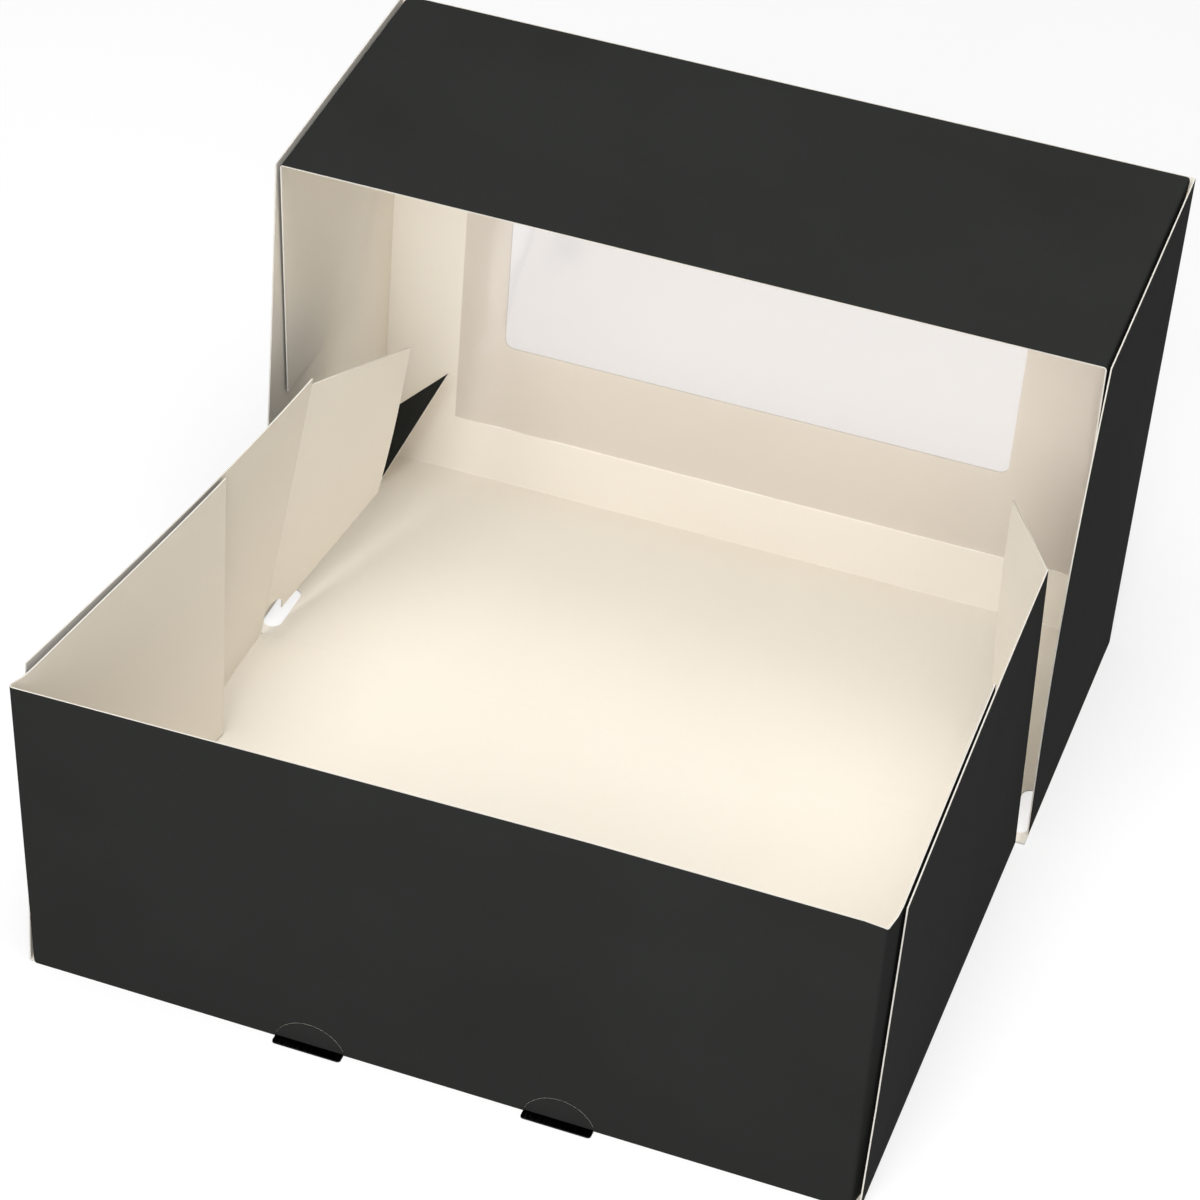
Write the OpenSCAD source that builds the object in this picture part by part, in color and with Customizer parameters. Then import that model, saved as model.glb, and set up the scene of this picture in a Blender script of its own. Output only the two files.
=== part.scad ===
// Windowed cake box: a folded card carton shown open, with its lid swung back.
// Units are millimetres. X runs along the width, Y runs back from the front wall, Z is up.

/* [Card] */
// Thickness of the card sheet
board = 0.5; // [0.3:0.05:0.8]
// Thickness of the clear film in the window
film = 0.2; // [0.1:0.05:0.3]

/* [Tray] */
// Outer width of the tray across its side walls
tray_w = 240; // [180:1:320]
// Depth of the tray from the front wall to the lid's crease
tray_d = 156; // [120:1:220]
// Height of the tray's walls
wall_h = 101; // [80:1:120]
// How far the free rear end of the left wall leans in at its top
lean_left = 17; // [8:0.5:20]
// How far the free rear end of the right wall leans in at its top
lean_right = 3; // [0:0.5:10]
// Gap between a side wall and the front wall's flap inside it
layer_gap = 0.6; // [0.4:0.1:1.2]
// Length of the front wall's side flaps along their top edge
inner_flap_top = 102; // [70:1:110]
// Length of the front wall's side flaps along the floor
inner_flap_foot = 121; // [80:1:125]
// How far the side walls' front edges slant back at the top
front_slant = 7; // [0:0.5:12]

/* [Front lock tongues] */
// Width of each tongue at the foot of the front wall
tongue_w = 20; // [12:1:30]
// How far each tongue stands out in front
tongue_l = 3; // [1:0.5:6]
// Distance of each tongue's centre from the middle
tongue_x = 36; // [25:1:60]
// Height of the half moon cut over each tongue
moon_h = 7; // [4:0.5:9]
// Width of the half moon cut
moon_cut = 0.4; // [0.2:0.1:0.8]

/* [Rear flaps] */
// Length of the two flaps at the side walls' rear ends
flap_l = 51; // [30:1:60]
// Height of the left flap's lower free corner
flap_low_left = 29; // [24:1:34]
// Height of the right flap's lower free corner
flap_low_right = 20; // [18:1:34]
// Height of the flaps' upper free corners
flap_high = 87; // [60:1:92]
// Inward turn of the left flap as it stands
flap_turn_left = 15; // [10:1:25]
// Inward turn of the right flap as it stands
flap_turn_right = 24.5; // [15:0.5:35]
// Clear gap under a flap at its crease
flap_lift = 1.2; // [0.8:0.1:2]

/* [Lid] */
// Clear gap between a side wall and the lid's skirt outside it
lid_gap = 2; // [1.5:0.1:3]
// Clear height between the tray's walls and the closed lid
lid_rise = 1; // [0.5:0.1:3]
// Length of the lid's top panel from the rear wall to the front skirt
panel_l = 164; // [162:1:172]
// Backward lean of the top panel as the box stands open
panel_lean = 3.6; // [2:0.1:6]
// Depth of the front skirt
skirt_l = 95; // [60:1:96]
// Droop of the front skirt below level
skirt_droop = 3.5; // [0:0.1:3.5]
// Distance from the lid's crease to the foot of the side skirts
skirt_foot = 4; // [2:0.5:10]
// Width left out at each end of the front skirt, beside the side skirts
skirt_end_gap = 1.5; // [1.2:0.1:1.6]
// Length of the front skirt's end flaps inside the side skirts
end_flap_l = 70; // [40:1:90]
// Slant of the end flaps' upper edges, which lets the front skirt swing out
end_flap_taper = 27; // [26:0.5:35]
// Height of the rear wall's end flaps inside the side skirts
rear_end_flap_h = 40; // [20:1:60]

/* [Window] */
// Half of the window's width
window_half = 82.5; // [50:0.5:100]
// Distance from the rear fold to the window
window_low = 51; // [30:1:70]
// Length of the window along the panel
window_l = 73; // [40:1:90]
// Corner radius of the window
window_r = 3; // [2:0.5:12]
// Width of film behind the card beside the window on the left
film_left = 15; // [8:1:30]
// Width of film behind the card beside the window on the right
film_right = 26; // [8:1:30]
// Width of film behind the card between the window and the rear fold
film_low = 30; // [10:1:30]
// Width of film behind the card between the window and the front skirt
film_high = 20; // [8:1:30]

/* [Corner] */
// Length of a loose corner flap's crease
ear_crease = 19; // [12:1:24]
// Distance from the rear fold to the foot of that crease
ear_back = 15.5; // [15:0.5:20]
// Slant of that crease from level
ear_slant = 61; // [55:1:65]
// Reach of a loose corner flap's tip along its crease
ear_tip_along = 40; // [30:1:42]
// Reach of a loose corner flap's tip away from its crease
ear_tip_out = 26; // [15:0.5:28]
// Angle between the left corner flap and its skirt
ear_open_left = 63.5; // [50:0.5:65]
// Angle between the right corner flap and its skirt
ear_open_right = 19; // [10:0.5:24]
// Width of the relief notch beside the lid's crease
notch_w = 6; // [4:0.5:8]
// Length of the relief notch
notch_l = 20; // [10:1:30]

/* [Hidden] */
$fn = 48;
steps = 16;
half_w = tray_w / 2;
// Angle that the inward bow of a side wall takes of a sine, from its front to its rear
bow = 65;
// The side walls stop short of the crease so that the rear wall closes behind them
wall_end_gap = 0.9;
wall_end = tray_d - wall_end_gap;
wall_top = wall_h;
inner_x = half_w - board - layer_gap;
// Overlap that carries one ply into the next where they are folded from one sheet
seam = board / 2;
// How far a cut reaches past the sheet on each side
past = board;
// Clear gap between the floor and the feet of the front wall's flaps
inner_lift = board;
// How far the rear flaps' upper edges start below the side walls' tops
flap_drop = 1;
// How far the front skirt's end flaps stay short of its fold and of its free edge
end_flap_inset = 2;
// Slant of the rear end flaps' two ends, measured along the floor
rear_end_flap_slant = rear_end_flap_h / 4;
rear_l = wall_h + lid_rise;
rear_y = tray_d + rear_l;
lid_half = half_w + lid_gap + board;
front_half = lid_half - skirt_end_gap;
panel_dir = [sin(panel_lean), cos(panel_lean)];
skirt_dir = [-cos(skirt_droop), -sin(skirt_droop)];
fold_rear = [rear_y, 0];
fold_top = fold_rear + panel_l * panel_dir;
skirt_end = fold_top + skirt_l * skirt_dir;
crease_gap = 0.05;
// Thickness of the glue between the card and the film
glue = 0.02;
// Ply, gap and lift of a loose corner flap, and its low front corner along and across the crease
ear_t = 0.4;
ear_gap = 0.4;
ear_lift = 0.9;
ear_toe = [6, -1];
y_front = -tongue_l;
y_mid = (y_front + fold_top[0]) / 2;
card_black = [0.17, 0.18, 0.18];
film_clear = [0.85, 0.88, 0.92, 0.35];

// Left normal of a direction in the side view
function left_of(d) = [-d[1], d[0]];
// Corner of the inner line where two folded panels meet
function mitre(v, n1, n2, t) = v + t * (n1 + n2) / (1 + n1 * n2);
// Sideways place of the left wall's outer face, upright at the front and bowed in towards the rear
function wall_x(y, z, lean) = -half_w + lean * sin(bow * y / wall_end) / sin(bow) * (z / wall_top);
n_skirt = left_of(skirt_dir);
function blend(a, b, k) = a + (b - a) * k;

module framed() { translate([0, -y_mid, 0]) children(); }

// Extrudes a side view, drawn as Y and Z, from x0 to x1
module across(x0, x1) {
  translate([x0, 0, 0]) rotate([90, 0, 90]) linear_extrude(x1 - x0) children();
}

// One upright ply that twists from its front edge to its rear edge. Each edge is [[y, z] low, [y, z] high].
module twisted_ply(front, rear, inset, lean, t) {
  rings = [for (i = [0 : steps]) let (
    lo = blend(front[0], rear[0], i / steps),
    hi = blend(front[1], rear[1], i / steps),
    x_lo = wall_x(lo[0], lo[1], lean) + inset,
    x_hi = wall_x(hi[0], hi[1], lean) + inset
  ) [[x_lo, lo[0], lo[1]], [x_hi, hi[0], hi[1]], [x_hi + t, hi[0], hi[1]], [x_lo + t, lo[0], lo[1]]]];
  points = [for (ring = rings) for (p = ring) p];
  last = 4 * steps;
  sides = [for (i = [0 : steps - 1]) for (j = [0 : 3]) let (
    a = 4 * i + j,
    b = 4 * i + (j + 1) % 4
  ) each [[a, a + 4, b + 4], [a, b + 4, b]]];
  caps = [[0, 1, 2], [0, 2, 3], [last + 2, last + 1, last], [last + 3, last + 2, last]];
  polyhedron(points = points, faces = concat(sides, caps));
}

// Outer side wall, folded up from the floor and free at its rear end
module side_wall(lean) {
  twisted_ply([[seam, 0], [seam + front_slant, wall_top]], [[wall_end, 0], [wall_end, wall_top]],
    0, lean, board);
}

// Flap of the front wall that lies inside the side wall
module inner_flap(lean) {
  low = board + inner_lift;
  twisted_ply([[seam, low], [seam, wall_top - board]],
    [[inner_flap_foot, low], [inner_flap_top, wall_top - board]],
    half_w - inner_x, lean, board);
}

// Thin arc over a tongue, on a circle through the tongue's two ends and the arc's top
module half_moon() {
  moon_r = (pow(tongue_w / 2, 2) + moon_h * moon_h) / (2 * moon_h);
  intersection() {
    translate([0, moon_h - moon_r]) difference() {
      circle(moon_r);
      circle(moon_r - moon_cut);
    }
    translate([-moon_r, board]) square([2 * moon_r, moon_r]);
  }
}

module tongue() {
  translate([-tongue_w / 2, -tongue_l, 0]) cube([tongue_w, tongue_l + board, board]);
}

module tray() {
  floor_half = half_w - seam;
  color(card_black) framed() union() {
    translate([-floor_half, 0, 0]) cube([2 * floor_half, tray_d - crease_gap, board]);
    difference() {
      translate([-half_w, 0, 0]) cube([tray_w, board, wall_top]);
      for (side = [-1, 1]) translate([side * tongue_x, board + past, 0])
        rotate([90, 0, 0]) linear_extrude(board + 2 * past) half_moon();
    }
    for (side = [-1, 1]) translate([side * tongue_x, 0, 0]) tongue();
    side_wall(lean_left);
    inner_flap(lean_left);
    mirror([1, 0, 0]) {
      side_wall(lean_right);
      inner_flap(lean_right);
    }
  }
}

// Flap at the rear end of the left wall, turned in about the leaning crease
module rear_flap(lean, turn, low) {
  lean_angle = atan2(lean, wall_top);
  outline = [
    [seam, flap_lift + board],
    [flap_l, low],
    [flap_l, flap_high],
    [seam, wall_top - flap_drop]
  ];
  translate([-half_w + board, wall_end, 0]) rotate([0, lean_angle, 0]) rotate([0, 0, -turn])
    across(-board, 0) polygon(outline);
}

module left_rear_flap() { color(card_black) framed() rear_flap(lean_left, flap_turn_left, flap_low_left); }
module right_rear_flap() {
  color(card_black) framed() mirror([1, 0, 0]) rear_flap(lean_right, flap_turn_right, flap_low_right);
}

// Rear wall and top panel in side view, as one folded strip
module panel_strip() {
  n_rear = left_of([1, 0]);
  n_panel = left_of(panel_dir);
  start = [tray_d + crease_gap, 0];
  polygon([
    start, fold_rear, fold_top,
    mitre(fold_top, n_panel, n_skirt, board),
    mitre(fold_rear, n_rear, n_panel, board),
    start + [0, board]
  ]);
}

// Front skirt in side view
module skirt_strip() {
  polygon([
    fold_top, skirt_end, skirt_end + board * n_skirt,
    mitre(fold_top, left_of(panel_dir), n_skirt, board)
  ]);
}

// Places a drawing on the inner face of the top panel: X across, Y up from the rear fold
module on_panel() {
  translate([0, fold_rear[0], fold_rear[1]]) rotate([90 - panel_lean, 0, 0]) children();
}

module rounded(w, l, r) {
  translate([-w / 2, r]) square([w, l - 2 * r]);
  translate([-w / 2 + r, 0]) square([w - 2 * r, l]);
  for (x = [-w / 2 + r, w / 2 - r]) for (y = [r, l - r]) translate([x, y]) circle(r);
}

module window_cut() {
  on_panel() translate([0, window_low, -past]) linear_extrude(board + 2 * past)
    rounded(2 * window_half, window_l, window_r);
}

// Side skirt of the lid, folded from the top panel
module side_skirt() {
  across(-lid_half, -lid_half + board)
    polygon([[tray_d + skirt_foot, 0], fold_rear, fold_top, skirt_end]);
}

// End flap of the front skirt, folded back inside the side skirt
module end_flap() {
  top = fold_top + end_flap_inset * skirt_dir + seam * n_skirt;
  tip = skirt_end - end_flap_inset * skirt_dir + seam * n_skirt;
  reach = end_flap_l * n_skirt;
  across(-front_half, -front_half + board) polygon([
    top, tip,
    tip + reach - end_flap_inset * skirt_dir,
    top + reach + end_flap_l * tan(end_flap_taper) * skirt_dir
  ]);
}

// End flap of the rear wall, glued inside the side skirt
module rear_end_flap() {
  x0 = -lid_half + board;
  y0 = tray_d + skirt_foot + notch_l;
  y1 = rear_y - ear_crease;
  across(x0, x0 + board) polygon([
    [y0, seam],
    [y1, seam],
    [y1 - rear_end_flap_slant, rear_end_flap_h],
    [y0 + rear_end_flap_slant, rear_end_flap_h]
  ]);
}

module relief_notch() {
  r = notch_w / 2;
  translate([-lid_half + board + r, tray_d + skirt_foot + r, -past])
    linear_extrude(board + 2 * past) hull() {
      circle(r);
      translate([0, notch_l - notch_w]) circle(r);
    }
}

module lid() {
  color(card_black) framed() union() {
    difference() {
      across(-lid_half, lid_half) panel_strip();
      window_cut();
      for (side = [0, 1]) mirror([side, 0, 0]) relief_notch();
    }
    for (side = [0, 1]) mirror([side, 0, 0]) {
      side_skirt();
      rear_end_flap();
    }
  }
}

module front_skirt() {
  color(card_black) framed() union() {
    across(-front_half, front_half) skirt_strip();
    for (side = [0, 1]) mirror([side, 0, 0]) end_flap();
  }
}

module window_film() {
  w = 2 * window_half + film_left + film_right;
  l = window_l + film_low + film_high;
  color(film_clear) framed() on_panel()
    translate([-window_half - film_left, window_low - film_low, board + glue])
      cube([w, l, film]);
}

// Loose corner of the rear wall's end flap, sprung away from the left skirt
module corner_flap(open) {
  foot = [-lid_half + 2 * board + ear_gap, rear_y - ear_back, board + ear_lift];
  outline = [[0, 0], [0, ear_crease], [ear_tip_out, ear_tip_along], ear_toe];
  color(card_black) framed() translate(foot) rotate([ear_slant, 0, 0]) rotate([0, open - 90, 0])
    linear_extrude(ear_t) polygon(outline);
}

module left_corner_flap() { corner_flap(ear_open_left); }
module right_corner_flap() { mirror([1, 0, 0]) corner_flap(ear_open_right); }

tray();
lid();
front_skirt();
window_film();
left_rear_flap();
right_rear_flap();
left_corner_flap();
right_corner_flap();
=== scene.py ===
import logging
import math
from dataclasses import dataclass, field
from enum import Enum
from typing import Callable, Sequence

import bpy
from mathutils import Matrix, Vector, noise


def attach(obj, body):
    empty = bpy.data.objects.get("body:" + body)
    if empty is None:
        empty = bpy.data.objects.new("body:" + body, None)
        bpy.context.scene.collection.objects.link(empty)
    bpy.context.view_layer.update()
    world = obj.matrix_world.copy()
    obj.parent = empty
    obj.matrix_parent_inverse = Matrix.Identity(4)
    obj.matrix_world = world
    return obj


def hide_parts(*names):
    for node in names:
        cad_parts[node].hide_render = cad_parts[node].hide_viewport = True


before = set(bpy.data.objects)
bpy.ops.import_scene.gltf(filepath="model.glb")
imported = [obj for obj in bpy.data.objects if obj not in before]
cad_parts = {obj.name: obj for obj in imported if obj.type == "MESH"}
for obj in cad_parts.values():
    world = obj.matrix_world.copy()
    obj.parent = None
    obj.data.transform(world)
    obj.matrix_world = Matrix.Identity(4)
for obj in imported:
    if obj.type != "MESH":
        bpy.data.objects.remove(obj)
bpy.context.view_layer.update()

MM = 0.001
LOG = logging.getLogger("cake_box")

TURN = tuple(math.radians(a) for a in (18, 36, 54, 72))

Point2 = tuple[float, float]
Grid = list[list[Vector]]


class Face(Enum):
    """The three kinds of surface that a card sheet shows, by material slot."""

    OUTER = 0
    INNER = 1
    EDGE = 2


@dataclass(frozen=True)
class BoxSizes:
    """The carton's sizes in millimetres and degrees, as in the solid model."""

    board: float = 0.5
    ply: float = 0.4
    tray_w: float = 240.0
    tray_d: float = 156.0
    wall_h: float = 101.0
    lean_left: float = 17.0
    lean_right: float = 3.0
    bow: float = 65.0
    layer_gap: float = 0.6
    inner_flap_top: float = 102.0
    inner_flap_foot: float = 121.0
    front_slant: float = 7.0
    wall_end_gap: float = 0.9
    crease_slit: float = 0.01
    tongue_w: float = 20.0
    tongue_l: float = 3.0
    tongue_x: float = 36.0
    moon_h: float = 7.0
    flap_l: float = 51.0
    flap_low_left: float = 29.0
    flap_low_right: float = 20.0
    flap_high: float = 87.0
    flap_turn_left: float = 15.0
    flap_turn_right: float = 24.5
    flap_lift: float = 1.2
    lid_gap: float = 2.0
    lid_rise: float = 1.0
    panel_l: float = 164.0
    panel_lean: float = 3.6
    skirt_l: float = 95.0
    skirt_droop: float = 3.5
    skirt_foot: float = 4.0
    skirt_end_gap: float = 1.5
    end_flap_l: float = 70.0
    end_flap_taper: float = 27.0
    rear_end_flap_h: float = 40.0
    window_half: float = 82.5
    window_low: float = 51.0
    window_l: float = 73.0
    window_r: float = 3.0
    film: float = 0.2
    glue: float = 0.02
    film_left: float = 15.0
    film_right: float = 26.0
    film_low: float = 30.0
    film_high: float = 20.0
    ear_crease: float = 19.0
    ear_back: float = 15.5
    ear_slant: float = 61.0
    ear_tip_along: float = 40.0
    ear_tip_out: float = 26.0
    ear_open_left: float = 63.5
    ear_open_right: float = 19.0
    ear_t: float = 0.4
    ear_gap: float = 0.4
    ear_lift: float = 0.9
    ear_toe_out: float = 6.0
    ear_toe_along: float = -1.0
    notch_w: float = 6.0
    notch_l: float = 20.0

    @property
    def half_w(self) -> float:
        """Half of the tray's outer width."""
        return self.tray_w / 2

    @property
    def wall_end(self) -> float:
        """Where the side walls end at the rear."""
        return self.tray_d - self.wall_end_gap

    @property
    def rear_y(self) -> float:
        """Place of the fold between the rear wall and the top panel."""
        return self.tray_d + self.wall_h + self.lid_rise

    @property
    def lid_half(self) -> float:
        """Half of the lid's outer width."""
        return self.half_w + self.lid_gap + self.board

    @property
    def front_half(self) -> float:
        """Half of the front skirt's width between its end flaps' outer faces."""
        return self.lid_half - self.skirt_end_gap

    @property
    def panel_dir(self) -> Vector:
        """Direction of the open top panel in the side view, as (0, y, z)."""
        lean = math.radians(self.panel_lean)
        return Vector((0, math.sin(lean), math.cos(lean)))

    @property
    def skirt_dir(self) -> Vector:
        """Direction of the front skirt in the side view, as (0, y, z)."""
        droop = math.radians(self.skirt_droop)
        return Vector((0, -math.cos(droop), -math.sin(droop)))

    @property
    def fold_rear(self) -> Vector:
        """The rear fold on the lid's outer face."""
        return Vector((0, self.rear_y, 0))

    @property
    def fold_top(self) -> Vector:
        """The fold between the top panel and the front skirt, outer face."""
        return self.fold_rear + self.panel_l * self.panel_dir

    @property
    def skirt_end(self) -> Vector:
        """The front skirt's free edge, outer face."""
        return self.fold_top + self.skirt_l * self.skirt_dir

    @property
    def y_mid(self) -> float:
        """Middle of the open box from its tongues to its rearmost point."""
        return (self.fold_top.y - self.tongue_l) / 2

    def wall_x(self, y: float, z: float, lean: float) -> float:
        """Sideways place of a left side wall's outer face.

        Args:
            y: Distance back from the front wall.
            z: Height over the table.
            lean: How far the wall's rear end leans in at its top.

        Returns:
            The x of the outer face, negative on the left.
        """
        turn = math.sin(math.radians(self.bow * y / self.wall_end))
        full = math.sin(math.radians(self.bow))
        return -self.half_w + lean * turn / full * (z / self.wall_h)


def left_of(direction: Vector) -> Vector:
    """Left normal of a direction in the side view, where y runs right and z up."""
    return Vector((0, -direction.z, direction.y))


def spaced(start: float, end: float, step: float) -> list[float]:
    """Even stations from start to end, no further apart than step.

    Args:
        start: First station.
        end: Last station.
        step: Largest distance between two stations.

    Returns:
        The stations, both ends among them.
    """
    count = max(1, math.ceil(abs(end - start) / step))
    return [start + (end - start) * i / count for i in range(count + 1)]


def runs(start: float, end: float, count: int) -> list[float]:
    """A fixed number of even stretches from start to end.

    Args:
        start: First station.
        end: Last station.
        count: Number of stretches.

    Returns:
        The stations, both ends among them.
    """
    return [start + (end - start) * i / count for i in range(count + 1)]


def folded(points: Sequence[Point2], radius: float, counts: Sequence[int], arc: int = 5) -> list[Point2]:
    """A line of straight runs with a small round at each fold.

    Args:
        points: Corners of the line.
        radius: Radius of each fold.
        counts: Number of stretches on each straight run.
        arc: Number of stretches round a fold.

    Returns:
        The line's points, with the folds rounded.
    """
    starts, ends, rounds = [Vector(points[0])], [], []
    for before, corner, after in zip(points, points[1:], points[2:]):
        here = Vector(corner)
        into = (here - Vector(before)).normalized()
        out = (Vector(after) - here).normalized()
        cut = radius * math.tan(into.angle(out) / 2)
        first, last = here - into * cut, here + out * cut
        ends.append(first)
        starts.append(last)
        shares = [i / arc for i in range(1, arc)]
        rounds.append([first.lerp(here, k).lerp(here.lerp(last, k), k) for k in shares])
    ends.append(Vector(points[-1]))
    line: list[Vector] = []
    for i, (a, b) in enumerate(zip(starts, ends)):
        line += [a.lerp(b, k) for k in runs(0, 1, counts[i])]
        line += rounds[i] if i < len(rounds) else []
    return [tuple(p) for p in line]


class Place:
    """Turns the design's millimetres into the shared frame's metres."""

    def __init__(self, sizes: BoxSizes) -> None:
        """Keeps the shift of the frame's origin along y."""
        self.shift = Vector((0, -sizes.y_mid, 0))

    def __call__(self, x: float, y: float, z: float) -> Vector:
        """A design point in metres in the shared frame."""
        return (Vector((x, y, z)) + self.shift) * MM


@dataclass(frozen=True)
class CardFinish:
    """One face of the card: its colours, gloss and grain."""

    name: str
    colour: tuple[float, float, float]
    shade: tuple[float, float, float]
    roughness: float
    mottle: float
    grain: float
    depth: float
    specular: float


BLACK = CardFinish("card_black", (0.0285, 0.0300, 0.0285), (0.0230, 0.0240, 0.0225),
                   roughness=0.80, mottle=22.0, grain=900.0, depth=0.00003, specular=0.02)
CREAM = CardFinish("card_cream", (0.925, 0.878, 0.796), (0.895, 0.842, 0.752),
                   roughness=0.80, mottle=14.0, grain=1100.0, depth=0.00002, specular=0.12)
EDGE = CardFinish("card_edge", (0.820, 0.790, 0.730), (0.700, 0.665, 0.600),
                  roughness=0.85, mottle=160.0, grain=1500.0, depth=0.00002, specular=0.15)


class GrainGroup:
    """The card's mottle and fibre grain, as one node group for all card faces."""

    NAME = "card_grain"

    @classmethod
    def tree(cls) -> bpy.types.NodeTree:
        """Builds the group once.

        Returns:
            The node group, with Colour, Roughness and Height outputs.
        """
        if cls.NAME in bpy.data.node_groups:
            return bpy.data.node_groups[cls.NAME]
        tree = bpy.data.node_groups.new(cls.NAME, "ShaderNodeTree")
        face = tree.interface
        face.new_socket("Colour", in_out="INPUT", socket_type="NodeSocketColor")
        face.new_socket("Shade", in_out="INPUT", socket_type="NodeSocketColor")
        for name, value in (("Mottle", 20.0), ("Grain", 900.0), ("Rough", 0.6), ("Rough Spread", 0.06)):
            socket = face.new_socket(name, in_out="INPUT", socket_type="NodeSocketFloat")
            socket.default_value = value
        face.new_socket("Colour", in_out="OUTPUT", socket_type="NodeSocketColor")
        face.new_socket("Roughness", in_out="OUTPUT", socket_type="NodeSocketFloat")
        face.new_socket("Height", in_out="OUTPUT", socket_type="NodeSocketFloat")
        add, link = tree.nodes.new, tree.links.new
        given, result = add("NodeGroupInput"), add("NodeGroupOutput")
        where = add("ShaderNodeTexCoord")
        cloud = add("ShaderNodeTexNoise")
        cloud.inputs["Detail"].default_value = 4.0
        link(where.outputs["Object"], cloud.inputs["Vector"])
        link(given.outputs["Mottle"], cloud.inputs["Scale"])
        stretch = add("ShaderNodeMapping")
        stretch.inputs["Scale"].default_value = (1.0, 0.35, 1.0)
        link(where.outputs["Object"], stretch.inputs["Vector"])
        fibre = add("ShaderNodeTexNoise")
        fibre.inputs["Detail"].default_value = 3.0
        link(stretch.outputs["Vector"], fibre.inputs["Vector"])
        link(given.outputs["Grain"], fibre.inputs["Scale"])
        both = add("ShaderNodeMath")
        both.operation = "MULTIPLY_ADD"
        both.inputs[1].default_value = 0.3
        link(fibre.outputs["Fac"], both.inputs[0])
        lift = add("ShaderNodeMath")
        lift.operation = "MULTIPLY_ADD"
        lift.inputs[1].default_value = 1.4
        lift.inputs[2].default_value = -0.35
        link(cloud.outputs["Fac"], lift.inputs[0])
        link(lift.outputs[0], both.inputs[2])
        blend = add("ShaderNodeMix")
        blend.data_type = "RGBA"
        blend.clamp_factor = True
        link(both.outputs[0], blend.inputs["Factor"])
        link(given.outputs["Colour"], blend.inputs["A"])
        link(given.outputs["Shade"], blend.inputs["B"])
        rough = add("ShaderNodeMath")
        rough.operation = "MULTIPLY_ADD"
        link(fibre.outputs["Fac"], rough.inputs[0])
        link(given.outputs["Rough Spread"], rough.inputs[1])
        link(given.outputs["Rough"], rough.inputs[2])
        link(blend.outputs["Result"], result.inputs["Colour"])
        link(rough.outputs[0], result.inputs["Roughness"])
        link(fibre.outputs["Fac"], result.inputs["Height"])
        return tree


class Finishes:
    """Builds and keeps the materials."""

    def __init__(self) -> None:
        """Starts with no materials."""
        self.made: dict[str, bpy.types.Material] = {}

    def card(self, finish: CardFinish) -> bpy.types.Material:
        """A card face's material.

        Args:
            finish: The face's colours and grain.

        Returns:
            The material, built once for each finish.
        """
        if finish.name in self.made:
            return self.made[finish.name]
        material = bpy.data.materials.new(finish.name)
        material.use_nodes = True
        nodes, link = material.node_tree.nodes, material.node_tree.links.new
        shader = nodes["Principled BSDF"]
        shader.inputs["Specular IOR Level"].default_value = finish.specular
        grain = nodes.new("ShaderNodeGroup")
        grain.node_tree = GrainGroup.tree()
        grain.inputs["Colour"].default_value = (*finish.colour, 1)
        grain.inputs["Shade"].default_value = (*finish.shade, 1)
        grain.inputs["Mottle"].default_value = finish.mottle
        grain.inputs["Grain"].default_value = finish.grain
        grain.inputs["Rough"].default_value = finish.roughness
        bump = nodes.new("ShaderNodeBump")
        bump.inputs["Distance"].default_value = finish.depth
        bump.inputs["Strength"].default_value = 0.6
        link(grain.outputs["Height"], bump.inputs["Height"])
        link(grain.outputs["Colour"], shader.inputs["Base Color"])
        link(grain.outputs["Roughness"], shader.inputs["Roughness"])
        link(bump.outputs["Normal"], shader.inputs["Normal"])
        self.made[finish.name] = material
        return material

    def card_faces(self) -> list[bpy.types.Material]:
        """The card's materials in the order of Face."""
        return [self.card(f) for f in (BLACK, CREAM, EDGE)]

    def film(self) -> bpy.types.Material:
        """The window's clear film: see-through, with a gloss that grows at a slant.

        Returns:
            The material, built once.
        """
        name = "window_film_clear"
        if name in self.made:
            return self.made[name]
        material = bpy.data.materials.new(name)
        material.use_nodes = True
        nodes, link = material.node_tree.nodes, material.node_tree.links.new
        nodes.remove(nodes["Principled BSDF"])
        clear = nodes.new("ShaderNodeBsdfTransparent")
        path = nodes.new("ShaderNodeLightPath")
        tint = nodes.new("ShaderNodeMix")
        tint.data_type = "RGBA"
        tint.inputs["A"].default_value = (1, 1, 1, 1)
        tint.inputs["B"].default_value = (0.955, 0.935, 0.925, 1)
        link(path.outputs["Is Camera Ray"], tint.inputs["Factor"])
        link(tint.outputs["Result"], clear.inputs["Color"])
        gloss = nodes.new("ShaderNodeBsdfGlossy")
        gloss.inputs["Roughness"].default_value = 0.08
        gloss.inputs["Color"].default_value = (1, 1, 1, 1)
        slant = nodes.new("ShaderNodeFresnel")
        slant.inputs["IOR"].default_value = 1.5
        where = nodes.new("ShaderNodeTexCoord")
        ripple = nodes.new("ShaderNodeTexNoise")
        ripple.inputs["Scale"].default_value = 26.0
        ripple.inputs["Detail"].default_value = 2.0
        bump = nodes.new("ShaderNodeBump")
        bump.inputs["Distance"].default_value = 0.0006
        bump.inputs["Strength"].default_value = 0.5
        link(where.outputs["Object"], ripple.inputs["Vector"])
        link(ripple.outputs["Fac"], bump.inputs["Height"])
        link(bump.outputs["Normal"], gloss.inputs["Normal"])
        blend = nodes.new("ShaderNodeMixShader")
        link(slant.outputs["Fac"], blend.inputs["Fac"])
        link(clear.outputs["BSDF"], blend.inputs[1])
        link(gloss.outputs["BSDF"], blend.inputs[2])
        link(blend.outputs["Shader"], nodes["Material Output"].inputs["Surface"])
        self.made[name] = material
        return material


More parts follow.
